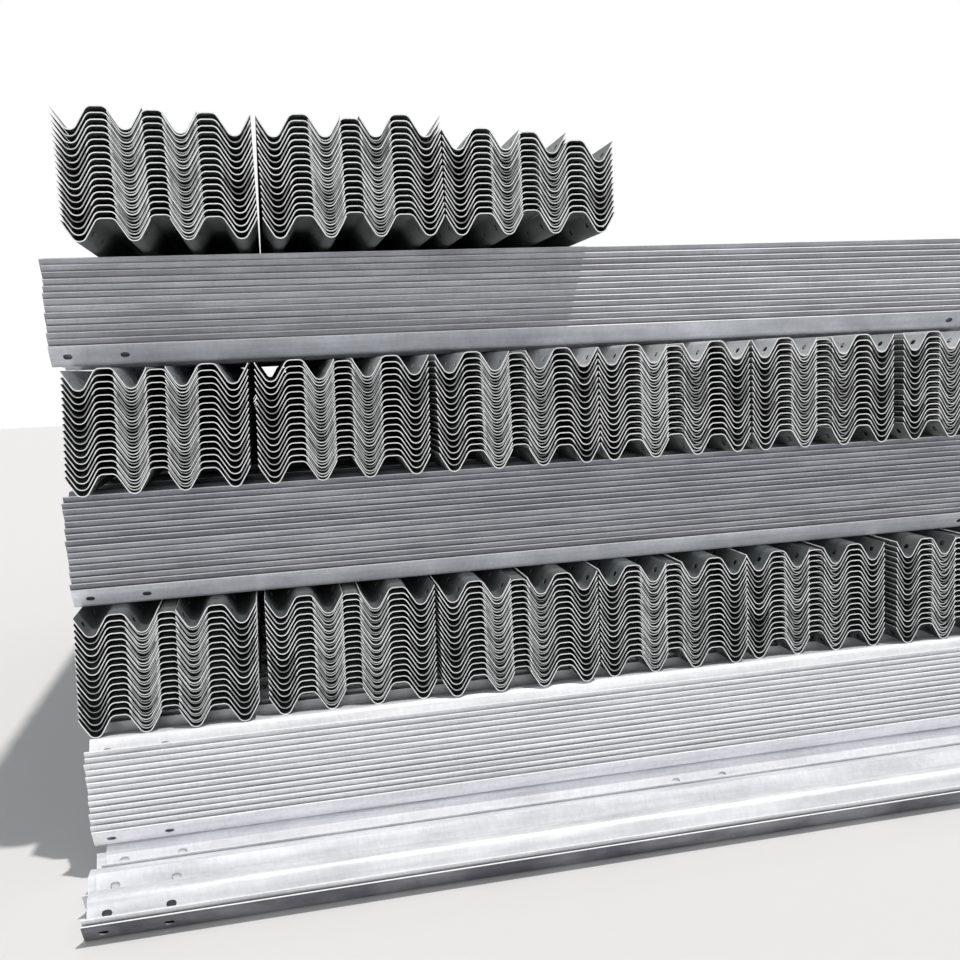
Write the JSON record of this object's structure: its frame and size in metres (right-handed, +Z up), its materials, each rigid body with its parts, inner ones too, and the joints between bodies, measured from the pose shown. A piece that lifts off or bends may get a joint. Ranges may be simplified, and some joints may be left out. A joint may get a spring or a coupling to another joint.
{
  "type": "stack of highway guardrail rails",
  "caption": "Storage stack of galvanized two-wave highway guardrail rails: 38 bundles of nested rails in seven courses, laid crosswise and lengthwise in turn.",
  "frame": {"origin": "centre of the stack's underside, on the ground", "axes": "+Z up; +Y points from the front, where the ground course reaches out, to the back; +X runs along the lengthwise rails, from the left end seen from the front"},
  "size_m": [4.415, 5.2546, 2.8758],
  "materials": {
    "zinc": "hot-dip galvanized"
  },
  "bodies": {
    "root": {"ground_course_bundle_1": "zinc", "ground_course_bundle_2": "zinc", "ground_course_bundle_3": "zinc", "ground_course_bundle_4": "zinc", "ground_course_bundle_5": "zinc", "ground_course_bundle_6": "zinc", "ground_course_bundle_7": "zinc", "second_course_bundle_1": "zinc", "second_course_bundle_2": "zinc", "second_course_bundle_3": "zinc", "second_course_bundle_4": "zinc", "second_course_bundle_5": "zinc", "second_course_bundle_6": "zinc", "third_course_bundle_1": "zinc", "third_course_bundle_2": "zinc", "third_course_bundle_3": "zinc", "third_course_bundle_4": "zinc", "third_course_bundle_5": "zinc", "third_course_bundle_6": "zinc", "fourth_course_bundle_1": "zinc", "fourth_course_bundle_2": "zinc", "fourth_course_bundle_3": "zinc", "fourth_course_bundle_4": "zinc", "fourth_course_bundle_5": "zinc", "fifth_course_bundle_1": "zinc", "fifth_course_bundle_2": "zinc", "fifth_course_bundle_3": "zinc", "fifth_course_bundle_4": "zinc", "fifth_course_bundle_5": "zinc", "fifth_course_bundle_6": "zinc", "sixth_course_bundle_1": "zinc", "sixth_course_bundle_2": "zinc", "sixth_course_bundle_3": "zinc", "sixth_course_bundle_4": "zinc", "sixth_course_bundle_5": "zinc", "top_course_bundle_1": "zinc", "top_course_bundle_2": "zinc", "top_course_bundle_3": "zinc"}
  },
  "joints": []
}
